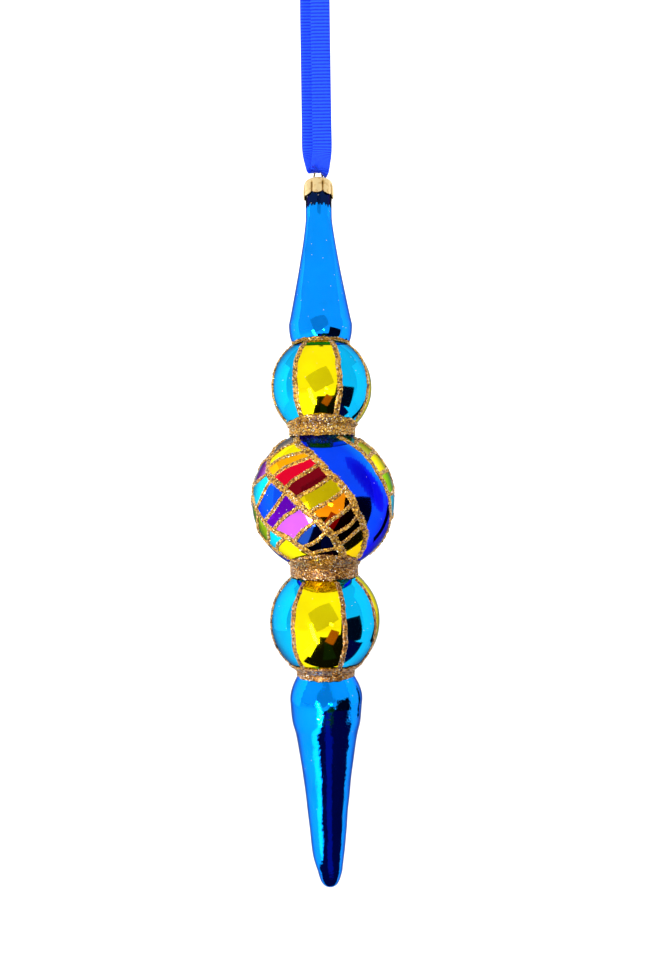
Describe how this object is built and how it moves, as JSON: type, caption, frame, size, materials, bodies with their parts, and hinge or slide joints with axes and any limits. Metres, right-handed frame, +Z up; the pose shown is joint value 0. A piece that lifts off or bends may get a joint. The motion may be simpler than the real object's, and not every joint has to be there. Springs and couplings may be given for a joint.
{
  "type": "icicle hanging ornament",
  "caption": "Blown glass icicle ornament: spire, stacked balls with glitter lines and a long drip, under a crown cap with a wire eye and a ribbon loop.",
  "frame": {"origin": "the point inside the top of the ribbon loop that a hook or branch bears on", "axes": "+Z up along the ornament's axis, +X to the right seen from the front, the front faces -Y"},
  "size_m": [0.0525, 0.0524, 0.357],
  "materials": {
    "lacquered_glass": "silvered inside, transparent coloured lacquer outside",
    "gilded_cap": "stamped and gilt",
    "spring_wire": "drawn spring wire",
    "grosgrain_ribbon": "ribbed grosgrain weave",
    "gold_glitter": "gold glitter in clear glue"
  },
  "bodies": {
    "ribbon": {"ribbon_front_strand": "grosgrain_ribbon", "ribbon_back_strand": "grosgrain_ribbon", "ribbon_knot": "grosgrain_ribbon", "ribbon_tail_left": "grosgrain_ribbon", "ribbon_tail_right": "grosgrain_ribbon"},
    "fold": {"ribbon_fold": "grosgrain_ribbon"},
    "hanger": {"hanger_wire": "spring_wire"},
    "cap": {"cap": "gilded_cap"},
    "glass": {"glass_body": "lacquered_glass", "glitter_ring_top": "gold_glitter", "glitter_collar_upper": "gold_glitter", "glitter_net_front": "gold_glitter", "glitter_net_back": "gold_glitter", "glitter_collar_lower": "gold_glitter", "glitter_ring_bottom": "gold_glitter", "glitter_upper_1": "gold_glitter", "glitter_upper_2": "gold_glitter", "glitter_upper_3": "gold_glitter", "glitter_upper_4": "gold_glitter", "glitter_upper_5": "gold_glitter", "glitter_upper_6": "gold_glitter", "glitter_upper_7": "gold_glitter", "glitter_upper_8": "gold_glitter", "glitter_lower_1": "gold_glitter", "glitter_lower_2": "gold_glitter", "glitter_lower_3": "gold_glitter", "glitter_lower_4": "gold_glitter", "glitter_lower_5": "gold_glitter", "glitter_lower_6": "gold_glitter", "glitter_lower_7": "gold_glitter", "glitter_lower_8": "gold_glitter"}
  },
  "joints": [
    {"name": "ribbon_twist", "type": "hinge", "parent": "ribbon", "child": "fold", "pos_m": [0, 0, -0.0767], "axis": [0, 0, 1], "range_deg": [-90, 90]},
    {"name": "hanger_swing", "type": "hinge", "parent": "fold", "child": "hanger", "pos_m": [0, 0, -0.0761], "axis": [1, 0, 0], "range_deg": [-30, 30]},
    {"name": "cap_lift", "type": "slide", "parent": "hanger", "child": "cap", "axis": [0, 0, 1], "range_m": [0, 0.0012]},
    {"name": "glass_pull_off", "type": "slide", "parent": "hanger", "child": "glass", "axis": [0, 0, -1], "range_m": [0, 0.025]}
  ]
}
